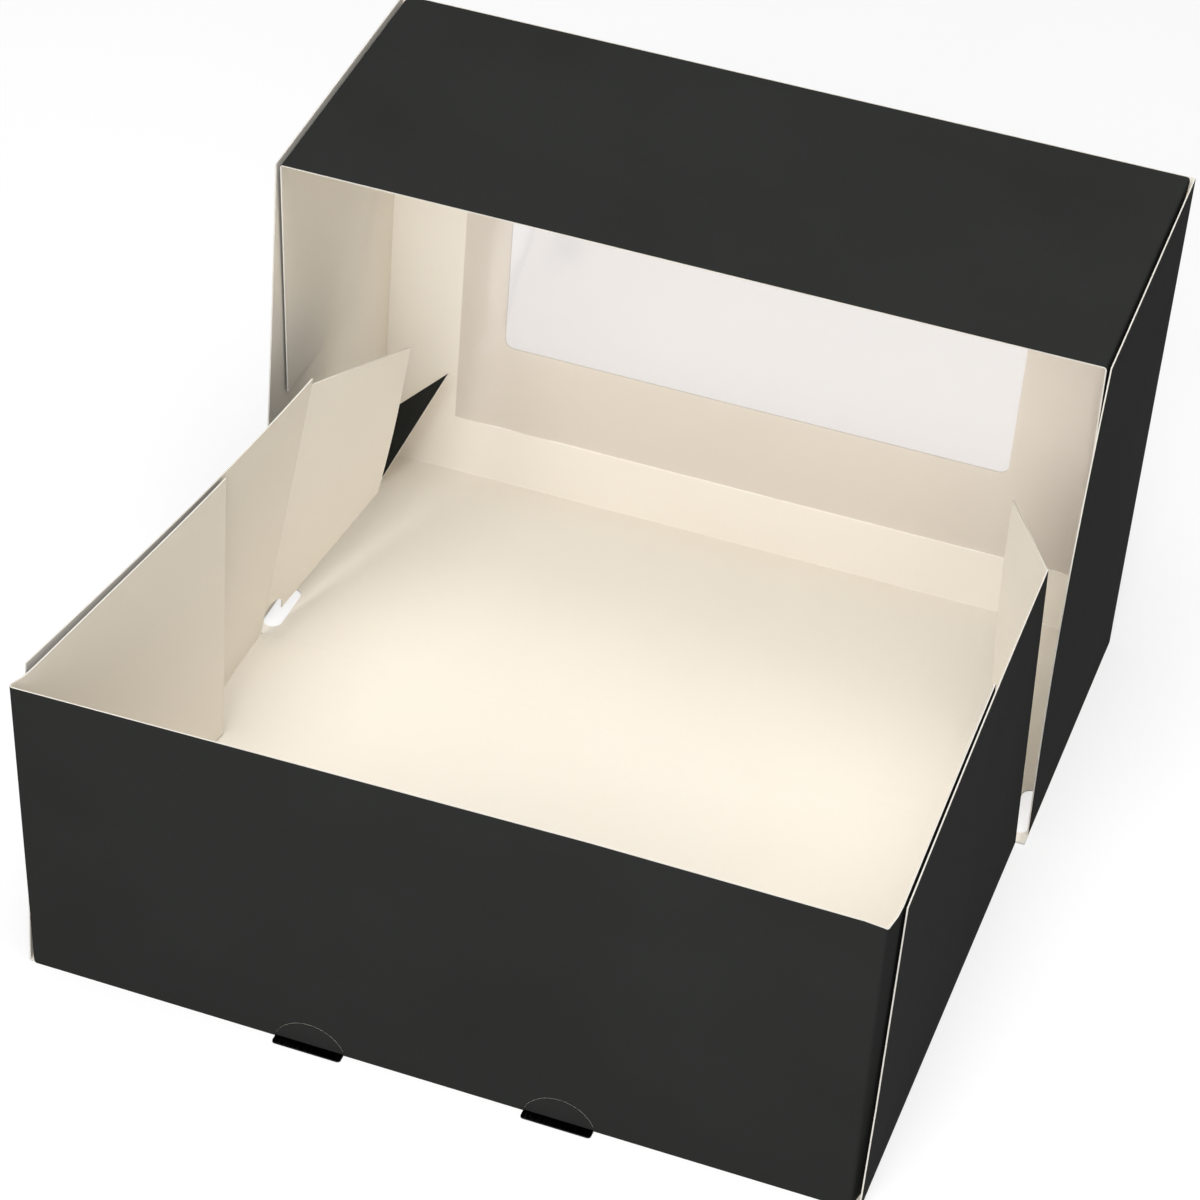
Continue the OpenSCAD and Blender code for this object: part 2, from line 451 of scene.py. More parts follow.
@dataclass
class Sheet:
    """One ply of card, given by its outer face as a grid of points in the shared frame."""

    name: str
    outer: Grid
    thickness: float
    flip: bool = False

    def build(self, materials: Sequence[bpy.types.Material]) -> bpy.types.Object:
        """Makes a closed ply with its outer, inner and cut faces told apart.

        Args:
            materials: The materials in the order of Face.

        Returns:
            The mesh object, with no modifier left on it.
        """
        rows, cols = len(self.outer), len(self.outer[0])
        verts = [p for row in self.outer for p in row]
        faces = []
        for i in range(rows - 1):
            for j in range(cols - 1):
                a = i * cols + j
                quad = (a, a + 1, a + cols + 1, a + cols)
                faces.append(tuple(reversed(quad)) if self.flip else quad)
        mesh = bpy.data.meshes.new(self.name)
        mesh.from_pydata([tuple(v) for v in verts], [], faces)
        for material in materials:
            mesh.materials.append(material)
        obj = bpy.data.objects.new(self.name, mesh)
        bpy.context.scene.collection.objects.link(obj)
        ply = obj.modifiers.new("ply", "SOLIDIFY")
        ply.thickness = self.thickness
        ply.offset = -1
        ply.use_even_offset = True
        ply.material_offset = Face.INNER.value
        ply.material_offset_rim = Face.EDGE.value
        return applied(obj)


def applied(obj: bpy.types.Object) -> bpy.types.Object:
    """Turns an object's modifiers into its mesh.

    Args:
        obj: The object, whose modifiers are evaluated and removed.

    Returns:
        The same object, with a plain mesh.
    """
    bpy.context.view_layer.update()
    shaped = obj.evaluated_get(bpy.context.evaluated_depsgraph_get())
    mesh = bpy.data.meshes.new_from_object(shaped)
    obj.modifiers.clear()
    old, obj.data = obj.data, mesh
    bpy.data.meshes.remove(old)
    return obj


def cut_with(obj: bpy.types.Object, cutter: bpy.types.Object) -> None:
    """Cuts one closed mesh out of another, and removes the cutter.

    Args:
        obj: The mesh that is cut.
        cutter: The closed mesh that is taken away.
    """
    cut = obj.modifiers.new("cut", "BOOLEAN")
    cut.operation = "DIFFERENCE"
    cut.solver = "EXACT"
    cut.object = cutter
    applied(obj)
    bpy.data.objects.remove(cutter)


def joined(name: str, parts: Sequence[bpy.types.Object]) -> bpy.types.Object:
    """Joins plies of one card into one mesh object.

    Args:
        name: Name of the joined piece.
        parts: The objects, which share one list of materials.

    Returns:
        The joined object.
    """
    first = parts[0]
    if len(parts) > 1:
        with bpy.context.temp_override(active_object=first, selected_editable_objects=list(parts),
                                       object=first):
            bpy.ops.object.join()
    first.name = name
    first.data.name = name
    for polygon in first.data.polygons:
        polygon.use_smooth = True
    first.data.set_sharp_from_angle(angle=math.radians(28))
    return first


def prism(name: str, outline: Sequence[Vector], depth: Vector, edge: bpy.types.Material,
          face: Face = Face.EDGE) -> bpy.types.Object:
    """A closed prism for cutting, whose faces count as cut card unless told otherwise.

    Args:
        name: Name of the cutter.
        outline: Corners in order round the prism's first end.
        depth: The way from the first end to the other.
        edge: The cut card's material.
        face: The kind of surface that the cut leaves.

    Returns:
        The prism.
    """
    count = len(outline)
    turn = sum((a - outline[0]).cross(b - outline[0]).dot(depth) for a, b in zip(outline, outline[1:]))
    ring = list(outline) if turn > 0 else list(reversed(outline))
    verts = [tuple(p) for p in ring] + [tuple(p + depth) for p in ring]
    ends = [tuple(range(count - 1, -1, -1)), tuple(range(count, 2 * count))]
    sides = [(i, (i + 1) % count, (i + 1) % count + count, i + count) for i in range(count)]
    mesh = bpy.data.meshes.new(name)
    mesh.from_pydata(verts, [], ends + sides)
    for _ in Face:
        mesh.materials.append(edge)
    for polygon in mesh.polygons:
        polygon.material_index = face.value
    mesh.update()
    obj = bpy.data.objects.new(name, mesh)
    bpy.context.scene.collection.objects.link(obj)
    return obj


def bilinear(corners: Sequence[Vector], step: float, bulge: Callable[[float, float], Vector]) -> Grid:
    """A four-sided patch with a gentle bow.

    Args:
        corners: Four corners in metres, in order round the patch.
        step: Longest stretch between neighbouring points, in metres.
        bulge: Offset at each place of the patch, in metres, from two shares of 0 to 1.

    Returns:
        The patch as rows of points.
    """
    a, b, c, d = corners
    across = max((b - a).length, (c - d).length)
    along = max((d - a).length, (c - b).length)
    us, vs = spaced(0, 1, step / across), spaced(0, 1, step / along)
    return [[a.lerp(b, u).lerp(d.lerp(c, u), v) + bulge(u, v) for u in us] for v in vs]


def dome(u: float, v: float) -> float:
    """A bow that is 1 in a patch's middle and 0 round its edge."""
    return math.sin(math.pi * u) * math.sin(math.pi * v)


def flat(u: float, v: float) -> Vector:
    """No bow at all."""
    return Vector((0, 0, 0))


@dataclass
class Tray:
    """The tray: floor, side walls, front wall with its inner flaps, and the tongues."""

    sizes: BoxSizes
    finishes: Finishes
    fold_r: float = 0.9
    step: float = 5.0
    front_lean: float = 3.3
    corner_r: float = 1.3
    spread_left: float = 1.3
    spread_right: float = -1.7
    spread_y: float = 9.0
    setback_right: float = 1.5
    foot_left: float = 108.0
    toe_left: float = 8.0
    nick: float = 1.7
    nick_l: float = 5.0
    lift_y: float = 3.0
    lean_x: float = 40.0
    lean_w: float = 160.0
    blend_y: float = 40.0
    bulge: float = 0.5
    floor_z: float = 0.05
    moon_slit: float = 0.06
    moon_end: float = 0.2
    cut_out: float = 4.0
    tongue_r: float = 0.9

    def wrap(self) -> bpy.types.Object:
        """Builds the floor and both side walls as one folded strip.

        Returns:
            The strip's mesh object.
        """
        s, at = self.sizes, Place(self.sizes)
        seam = s.board / 2
        up_count, across_count = math.ceil(s.wall_h / self.step), math.ceil(s.tray_w / self.step)
        rows: Grid = []
        for share in spaced(0, 1, self.step / s.tray_d):
            row = []
            nominal = share * s.wall_end
            left = [(s.wall_x(nominal, s.wall_h, s.lean_left), s.wall_h), (-s.half_w, 0.0)]
            right = [(s.half_w, 0.0), (-s.wall_x(nominal, s.wall_h, s.lean_right), s.wall_h)]
            line = folded(left + right, self.fold_r, (up_count, across_count, up_count))
            for x, z in line:
                up = min(1.0, z / s.wall_h)
                back = self.setback_right * min(1.0, 3 * up) if x > 0 else 0.0
                start = seam + s.front_slant * up + back
                end = s.wall_end if z > self.floor_z else s.tray_d - s.crease_slit
                y = start + (end - start) * share
                row.append(at(x, y, z))
            rows.append(row)
        return Sheet("tray_wrap", rows, s.ply * MM, flip=True).build(self.finishes.card_faces())

    def front(self) -> bpy.types.Object:
        """Builds the front wall and the two flaps inside the side walls as one folded strip.

        Returns:
            The strip's mesh object, with the two half-moon cuts.
        """
        s, at = self.sizes, Place(self.sizes)
        inset = s.board + s.layer_gap
        rows: Grid = []
        for up in spaced(0, 1, self.step / s.wall_h):
            z = s.wall_h * up
            line = self._plan(z, up, inset)
            right = max(x for x, _ in line)
            row = []
            for x, y in line:
                near = max(0.0, 1 - math.hypot(x - right, y) / self.nick_l)
                inside = min(1.0, max(0.0, y) / self.lift_y)
                height = z + inside * (2 * s.board * (1 - up) - s.board * up)
                row.append(at(x, y, height - self.nick * near * near * up ** 8))
            rows.append(row)
        obj = Sheet("tray_front", rows, s.ply * MM, flip=False).build(self.finishes.card_faces())
        for side in (-1, 1):
            cut_with(obj, self._half_moon(side))
        return obj

    def _plan(self, z: float, up: float, inset: float) -> list[Point2]:
        """The front strip's line in plan at one height.

        Args:
            z: Height of the line.
            up: The same height as a share of the wall's.
            inset: Distance from a side wall's outer face to its flap's.

        Returns:
            Points (x, y) from the left flap's rear edge to the right one's.
        """
        s = self.sizes

        def flap_x(y: float, lean: float, spread: float, toe: float) -> float:
            """Sideways place of a flap's outer face, as on the left.

            Args:
                y: Depth of the place.
                lean: How far the wall's rear end leans in.
                spread: How far the corner fold stands out past the flap.
                toe: How far the flap's foot swings in at its rear.

            Returns:
                The x of the place.
            """
            near = max(0.0, 1 - y / self.spread_y)
            swing = toe * (1 - up) * (max(0.0, y) / self.foot_left) ** 2
            return s.wall_x(y, z, lean) + inset - spread * near * near + swing

        def front_y(x: float) -> float:
            """The front wall's outer face, leaning out a little at its top left.

            Args:
                x: Sideways place.

            Returns:
                The y of the place.
            """
            left = max(0.0, min(1.0, (self.lean_x - x) / self.lean_w))
            across = math.cos(math.pi * x / s.tray_w)
            return -self.front_lean * up * left - self.bulge * across * math.sin(math.pi * up)

        count = math.ceil(s.inner_flap_foot / self.step)
        reach_left = self.foot_left + (s.inner_flap_top - self.foot_left) * up
        reach_right = s.inner_flap_foot + (s.inner_flap_top - s.inner_flap_foot) * up
        left = [(flap_x(y, s.lean_left, self.spread_left * up, self.toe_left),
                 y + front_y(-s.half_w) * max(0.0, 1 - y / self.blend_y))
                for y in runs(reach_left, self.corner_r, count)]
        right = [(-flap_x(y, s.lean_right, self.spread_right, 0.0), y)
                 for y in runs(self.corner_r, reach_right, count)]
        x0, x1 = left[-1][0], right[0][0]
        y0, y1 = front_y(x0), front_y(x1)
        corner, across_count = self.corner_r, math.ceil(s.tray_w / self.step)
        left += [(x0 + corner * (1 - math.cos(a)), y0 + corner * (1 - math.sin(a))) for a in TURN]
        front = [(x, front_y(x)) for x in runs(x0 + corner, x1 - corner, across_count)]
        front += [(x1 - corner * (1 - math.cos(a)), y1 + corner * (1 - math.sin(a))) for a in reversed(TURN)]
        return left + front + right

    def _half_moon(self, side: int) -> bpy.types.Object:
        """The thin curved cut over one tongue.

        Args:
            side: -1 for the left tongue, 1 for the right one.

        Returns:
            The cutter.
        """
        s, at = self.sizes, Place(self.sizes)
        radius = ((s.tongue_w / 2) ** 2 + s.moon_h ** 2) / (2 * s.moon_h)
        centre = s.moon_h - radius + 2 * s.board
        half = math.asin(min(1.0, (s.tongue_w / 2 - self.moon_end) / radius))
        angles = runs(-half, half, 16)
        arc = [(radius * math.sin(a), centre + radius * math.cos(a)) for a in angles]
        low = radius - self.moon_slit
        inner = [(low * math.sin(a), centre + low * math.cos(a)) for a in reversed(angles)]
        outline = [at(side * s.tongue_x + x, -self.cut_out, z) for x, z in arc + inner]
        depth = Vector((0, 2 * self.cut_out * MM, 0))
        return prism("half_moon", outline, depth, self.finishes.card(EDGE), Face.OUTER)

    def tongues(self) -> bpy.types.Object:
        """Builds both tongues from one outline with a geometry node tree.

        Returns:
            The tongues' mesh object.
        """
        s, at = self.sizes, Place(self.sizes)
        seed = bpy.data.meshes.new("tongue_places")
        seed.from_pydata([tuple(at(side * s.tongue_x, 0, 0)) for side in (-1, 1)], [], [])
        for material in self.finishes.card_faces():
            seed.materials.append(material)
        obj = bpy.data.objects.new("tongues", seed)
        bpy.context.scene.collection.objects.link(obj)
        tree = TongueTree.tree(self.finishes.card(BLACK))
        modifier = obj.modifiers.new("tongues", "NODES")
        modifier.node_group = tree
        sizes = {"Width": s.tongue_w * MM, "Length": (s.tongue_l + s.board) * MM,
                 "Thickness": s.ply * MM, "Overlap": s.board * MM, "Radius": self.tongue_r * MM}
        for item in tree.interface.items_tree:
            if item.item_type == "SOCKET" and item.in_out == "INPUT" and item.name in sizes:
                modifier[item.identifier] = sizes[item.name]
        return applied(obj)

    def build(self) -> bpy.types.Object:
        """Builds the tray's piece."""
        return joined("tray_card", [self.wrap(), self.front(), self.tongues()])


class TongueTree:
    """The node tree that sets a tongue with rounded corners on each of its points."""

    NAME = "tongue_row"

    @classmethod
    def tree(cls, face: bpy.types.Material) -> bpy.types.NodeTree:
        """Builds the tree once.

        Args:
            face: The tongues' material.

        Returns:
            The node tree, with Width, Length, Thickness, Overlap and Radius inputs.
        """
        tree = bpy.data.node_groups.new(cls.NAME, "GeometryNodeTree")
        ports = tree.interface
        ports.new_socket("Geometry", in_out="INPUT", socket_type="NodeSocketGeometry")
        for name in ("Width", "Length", "Thickness", "Overlap", "Radius"):
            ports.new_socket(name, in_out="INPUT", socket_type="NodeSocketFloat")
        ports.new_socket("Geometry", in_out="OUTPUT", socket_type="NodeSocketGeometry")
        add, link = tree.nodes.new, tree.links.new
        given, result = add("NodeGroupInput"), add("NodeGroupOutput")
        outline = add("GeometryNodeCurvePrimitiveQuadrilateral")
        link(given.outputs["Width"], outline.inputs["Width"])
        link(given.outputs["Length"], outline.inputs["Height"])
        rounded = add("GeometryNodeFilletCurve")
        link(outline.outputs["Curve"], rounded.inputs["Curve"])
        link(given.outputs["Radius"], rounded.inputs["Radius"])
        rounded.mode = "POLY"
        rounded.inputs["Count"].default_value = 5
        plate = add("GeometryNodeFillCurve")
        link(rounded.outputs["Curve"], plate.inputs["Curve"])
        up = add("ShaderNodeCombineXYZ")
        up.inputs[2].default_value = 1.0
        raised = add("GeometryNodeExtrudeMesh")
        link(plate.outputs["Mesh"], raised.inputs["Mesh"])
        link(up.outputs[0], raised.inputs["Offset"])
        link(given.outputs["Thickness"], raised.inputs["Offset Scale"])
        under = add("GeometryNodeFlipFaces")
        link(plate.outputs["Mesh"], under.inputs["Mesh"])
        both = add("GeometryNodeJoinGeometry")
        link(raised.outputs["Mesh"], both.inputs[0])
        link(under.outputs["Mesh"], both.inputs[0])
        closed = add("GeometryNodeMergeByDistance")
        link(both.outputs[0], closed.inputs["Geometry"])
        closed.inputs["Distance"].default_value = 0.000001
        half = add("ShaderNodeMath")
        half.operation = "MULTIPLY"
        half.inputs[1].default_value = 0.5
        link(given.outputs["Length"], half.inputs[0])
        back = add("ShaderNodeMath")
        back.operation = "SUBTRACT"
        link(given.outputs["Overlap"], back.inputs[0])
        link(half.outputs[0], back.inputs[1])
        shift = add("ShaderNodeCombineXYZ")
        link(back.outputs[0], shift.inputs[1])
        moved = add("GeometryNodeTransform")
        link(closed.outputs[0], moved.inputs["Geometry"])
        link(shift.outputs[0], moved.inputs["Translation"])
        rows = add("GeometryNodeInstanceOnPoints")
        link(given.outputs["Geometry"], rows.inputs["Points"])
        link(moved.outputs[0], rows.inputs["Instance"])
        real = add("GeometryNodeRealizeInstances")
        link(rows.outputs[0], real.inputs[0])
        whole = add("GeometryNodeSetMaterial")
        whole.inputs["Material"].default_value = face
        link(real.outputs[0], whole.inputs["Geometry"])
        link(whole.outputs[0], result.inputs[0])
        return tree


@dataclass
class RearFlap:
    """The flap at a side wall's rear end, turned in about the leaning crease."""

    sizes: BoxSizes
    finishes: Finishes
    side: int
    name: str
    curl: float = 0.7
    crease_edge: float = 0.06
    top_drop: float = 1.0
    notch_w: float = 9.0
    notch_h: float = 12.0
    notch_y: float = -0.3
    notch_foot: float = -2.0
    cut_out: float = 4.0

    def build(self) -> bpy.types.Object:
        """Builds the flap.

        Returns:
            The flap's piece.
        """
        s, at = self.sizes, Place(self.sizes)
        left = self.side < 0
        lean = s.lean_left if left else s.lean_right
        turn = s.flap_turn_left if left else s.flap_turn_right
        low = s.flap_low_left if left else s.flap_low_right
        lean_angle = math.atan2(lean, s.wall_h)
        place = Matrix.Translation((-s.half_w + s.board, s.wall_end, 0)) @ \
            Matrix.Rotation(lean_angle, 4, "Y") @ Matrix.Rotation(math.radians(-turn), 4, "Z")
        start = self.crease_edge
        outline = [(start, s.flap_lift + s.board), (s.flap_l, low), (s.flap_l, s.flap_high),
                   (start, s.wall_h - self.top_drop)]
        corners = [place @ Vector((-s.board, y, z)) for y, z in outline]
        normal = (place.to_3x3() @ Vector((1, 0, 0))).normalized()
        mirror = -1 if not left else 1
        points = [at(p.x * mirror, p.y, p.z) for p in corners]
        out = Vector((normal.x * mirror, normal.y, normal.z))

        def bow(u: float, v: float) -> Vector:
            """A slight curl towards the free end."""
            return out * (self.curl * MM * math.sin(math.pi * v) * u)

        grid = bilinear(points, 6 * MM, bow)
        sheet = Sheet(self.name, grid, s.ply * MM, flip=left).build(self.finishes.card_faces())
        r = self.notch_w / 2
        arc = [math.radians(a) for a in range(0, 181, 15)]
        ring = [(0.0, self.notch_foot), (self.notch_w, self.notch_foot)]
        ring += [(r + r * math.cos(a), self.notch_h - r + r * math.sin(a)) for a in arc]
        cut = [place @ Vector((-self.cut_out, y + self.notch_y, z)) for y, z in ring]
        depth = place.to_3x3() @ Vector((2 * self.cut_out, 0, 0))
        cutter = prism("flap_notch", [at(p.x * mirror, p.y, p.z) for p in cut],
                       Vector((depth.x * mirror, depth.y, depth.z)) * MM, self.finishes.card(EDGE))
        cut_with(sheet, cutter)
        return joined(self.name, [sheet])


@dataclass
class Lid:
    """The hood's rear wall, top panel, side skirts and glued flaps."""

    sizes: BoxSizes
    finishes: Finishes
    fold_r: float = 0.9
    step: float = 6.0
    bow_left: float = 0.7
    bow_right: float = 1.6
    cut_out: float = 2.0

    def strip(self) -> bpy.types.Object:
        """Builds the rear wall and the top panel as one folded strip.

        Returns:
            The strip, with its window and relief notches cut.
        """
        s, at = self.sizes, Place(self.sizes)
        start = (s.tray_d + s.crease_slit, 0.0)
        corners = [start, (s.fold_rear.y, s.fold_rear.z), (s.fold_top.y, s.fold_top.z)]
        counts = (math.ceil(s.wall_h / self.step), math.ceil(s.panel_l / self.step))
        grid: Grid = []
        for y, z in folded(corners, self.fold_r, counts):
            grid.append([at(x, y, z) for x in spaced(-s.lid_half, s.lid_half, self.step)])
        obj = Sheet("lid_strip", grid, s.ply * MM, flip=True).build(self.finishes.card_faces())
        cut_with(obj, self._window())
        for side in (-1, 1):
            cut_with(obj, self._notch(side))
        return obj

    def on_panel(self, x: float, up: float, out: float) -> Vector:
        """A point over the top panel's outer face, in the shared frame.

        Args:
            x: Sideways place.
            up: Distance from the rear fold along the panel.
            out: Distance from the outer face towards the inside.

        Returns:
            The point in metres.
        """
        s = self.sizes
        p = s.fold_rear + s.panel_dir * up + left_of(s.panel_dir) * out
        return Place(s)(x, p.y, p.z)

    def _window(self) -> bpy.types.Object:
        """The window's cutter, with rounded corners.

        Returns:
            The cutter.
        """
        s = self.sizes
        ring: list[Point2] = []
        high = s.window_low + s.window_l
        middles = [(s.window_half, high, 0), (-s.window_half, high, 90),
                   (-s.window_half, s.window_low, 180), (s.window_half, s.window_low, 270)]
        for x, up, first in middles:
            cx = x - math.copysign(s.window_r, x)
            cu = up - s.window_r if up > s.window_low else up + s.window_r
            for a in range(0, 91, 15):
                angle = math.radians(first + a)
                ring.append((cx + s.window_r * math.cos(angle), cu + s.window_r * math.sin(angle)))
        outline = [self.on_panel(x, up, -self.cut_out) for x, up in ring]
        depth = self.on_panel(0, 0, 2 * self.cut_out) - self.on_panel(0, 0, 0)
        return prism("window_cut", outline, depth, self.finishes.card(EDGE))

    def _notch(self, side: int) -> bpy.types.Object:
        """The relief notch's cutter on one side.

        Args:
            side: -1 for the left notch, 1 for the right one.

        Returns:
            The cutter.
        """
        s, at = self.sizes, Place(self.sizes)
        r = s.notch_w / 2
        cx = -s.lid_half + s.board + r
        y0, y1 = s.tray_d + s.skirt_foot + r, s.tray_d + s.skirt_foot + s.notch_l - r
        ring: list[Point2] = []
        for a in range(180, 361, 20):
            ring.append((cx + r * math.cos(math.radians(a)), y0 + r * math.sin(math.radians(a))))
        for a in range(0, 181, 20):
            ring.append((cx + r * math.cos(math.radians(a)), y1 + r * math.sin(math.radians(a))))
        outline = [at(-side * x, y, -1) for x, y in ring]
        return prism("notch", outline, Vector((0, 0, 3 * MM)), self.finishes.card(EDGE))

    def skirt(self, side: int) -> bpy.types.Object:
        """Builds one side skirt.

        Args:
            side: -1 for the left skirt, 1 for the right one.

        Returns:
            The skirt's mesh object.
        """
        s, at = self.sizes, Place(self.sizes)
        x = side * s.lid_half
        outline = [Vector((0, s.tray_d + s.skirt_foot, 0)), s.fold_rear, s.fold_top, s.skirt_end]
        points = [at(x, p.y, p.z) for p in outline]
        grid = self.bowed(bilinear(points, 7 * MM, flat), side)
        return Sheet("side_skirt", grid, s.ply * MM, flip=side < 0).build(self.finishes.card_faces())

    def bowed(self, grid: Grid, side: int) -> Grid:
        """Bows a side ply inward towards the skirt's free front edge.

        Args:
            grid: The ply's points in the shared frame.
            side: -1 for the left side, 1 for the right one.

        Returns:
            The bowed points.
        """
        s = self.sizes
        first = s.tray_d + s.skirt_foot
        most = (self.bow_right if side > 0 else self.bow_left) * MM
        rows: Grid = []
        for row in grid:
            moved = []
            for p in row:
                back = (p.y / MM + s.y_mid - first) / (s.rear_y - first)
                up = min(1.0, max(0.0, p.z / MM / s.fold_top.z))
                free = max(0.0, 1 - back)
                moved.append(p - Vector((side * most * free * free * math.sin(math.pi * up), 0, 0)))
            rows.append(moved)
        return rows

    def rear_end_flap(self, side: int) -> bpy.types.Object:
        """Builds the rear wall's end flap, glued inside the side skirt.

        Args:
            side: -1 for the left flap, 1 for the right one.

        Returns:
            The flap's mesh object.
        """
        s, at = self.sizes, Place(self.sizes)
        x = side * (s.lid_half - s.board)
        seam = s.board / 2
        y0, y1 = s.tray_d + s.notch_l + s.skirt_foot, s.rear_y - s.ear_crease
        lean = s.rear_end_flap_h / 4
        outline = [(y0, seam), (y1, seam), (y1 - lean, s.rear_end_flap_h), (y0 + lean, s.rear_end_flap_h)]
        points = [at(x, y, z) for y, z in outline]
        grid = self.bowed(bilinear(points, 9 * MM, flat), side)
        return Sheet("rear_end_flap", grid, s.board * MM, flip=side < 0).build(self.finishes.card_faces())

    def build(self) -> bpy.types.Object:
        """Builds the lid's piece.

        Returns:
            The lid's piece.
        """
        parts = [self.strip()]
        for side in (-1, 1):
            parts += [self.skirt(side), self.rear_end_flap(side)]
        return joined("lid_card", parts)


@dataclass
class FrontSkirt:
    """The lid's front skirt with its end flaps folded back inside the side skirts."""

    sizes: BoxSizes
    finishes: Finishes
    fold_r: float = 1.0
    step: float = 6.0
    extra: float = 12.0
    rows: int = 12
    fold_gap: float = 0.3
    flap_start: float = 2.0
    least: float = 1.5

    def build(self) -> bpy.types.Object:
        """Builds the skirt and its end flaps as one folded strip.

        Returns:
            The skirt's piece.
        """
        s, at = self.sizes, Place(self.sizes)
        down = left_of(s.skirt_dir)
        grid: Grid = []
        taper = math.tan(math.radians(s.end_flap_taper))
        for along in spaced(self.fold_gap, s.skirt_l, self.step):
            reach = min(s.end_flap_l + self.extra, max(self.least, (along - self.flap_start) / taper))
            row = []
            for x, depth in self._line(reach):
                p = s.fold_top + s.skirt_dir * along - down * depth
                row.append(at(x, p.y, p.z))
            grid.append(row)
        sheet = Sheet("front_skirt_ply", grid, s.ply * MM, flip=True)
        return joined("front_skirt_card", [sheet.build(self.finishes.card_faces())])

    def _line(self, reach: float) -> list[Point2]:
        """The strip's section, with the same number of points for any reach.

        Args:
            reach: Length of the end flaps at this place.

        Returns:
            Points (x, depth) from the left flap's foot to the right one's.
        """
        half, r = self.sizes.front_half, self.fold_r
        down = [(-half, -reach + (reach - r) * i / self.rows) for i in range(self.rows + 1)]
        arc = [(-half + r * (1 - math.cos(a)), -r * (1 - math.sin(a))) for a in TURN]
        top = [(x, 0.0) for x in spaced(-half + r, half - r, self.step)]
        back = [(-x, d) for x, d in reversed(down + arc)]
        return down + arc + top + back


@dataclass
class WindowFilm:
    """The clear film glued inside the top panel."""

    sizes: BoxSizes
    finishes: Finishes
    lid: Lid
    ripple: float = 0.35

    def build(self) -> bpy.types.Object:
        """Builds the film with a faint ripple across the window.

        Returns:
            The film's piece.
        """
        s = self.sizes
        x0, x1 = -s.window_half - s.film_left, s.window_half + s.film_right
        u0, u1 = s.window_low - s.film_low, s.window_low + s.window_l + s.film_high
        grid: Grid = []
        for up in spaced(u0, u1, 4):
            row = []
            for x in spaced(x0, x1, 5):
                wave = noise.noise(Vector((x * 0.03, up * 0.05, 3.7)))
                inside = dome((x - x0) / (x1 - x0), (up - u0) / (u1 - u0))
                lift = s.board + s.glue + s.film + self.ripple * inside * (0.5 + wave)
                row.append(self.lid.on_panel(x, up, lift))
            grid.append(row)
        sheet = Sheet("film_ply", grid, s.film * MM, flip=True)
        film = self.finishes.film()
        return joined("window_film_clear", [sheet.build([film, film, film])])


@dataclass
class CornerFlap:
    """A loose corner of the rear wall's end flap, its black face showing."""

    sizes: BoxSizes
    finishes: Finishes
    side: int
    name: str

    def build(self) -> bpy.types.Object:
        """Builds the loose corner.

        Returns:
            The corner's piece.
        """
        s, at = self.sizes, Place(self.sizes)
        left = self.side < 0
        opened = s.ear_open_left if left else s.ear_open_right
        foot = Vector((-s.lid_half + 2 * s.board + s.ear_gap, s.rear_y - s.ear_back, s.board + s.ear_lift))
        place = Matrix.Translation(foot) @ Matrix.Rotation(math.radians(s.ear_slant), 4, "X") @ \
            Matrix.Rotation(math.radians(opened - 90), 4, "Y")
        outline = [(0, 0), (0, s.ear_crease), (s.ear_tip_out, s.ear_tip_along),
                   (s.ear_toe_out, s.ear_toe_along)]
        corners = [place @ Vector((x, y, 0)) for x, y in outline]
        mirror = 1 if left else -1
        points = [at(p.x * mirror, p.y, p.z) for p in corners]
        grid = bilinear(points, 3 * MM, flat)
        sheet = Sheet(self.name, grid, s.ear_t * MM, flip=left)
        return joined(self.name, [sheet.build(self.finishes.card_faces())])


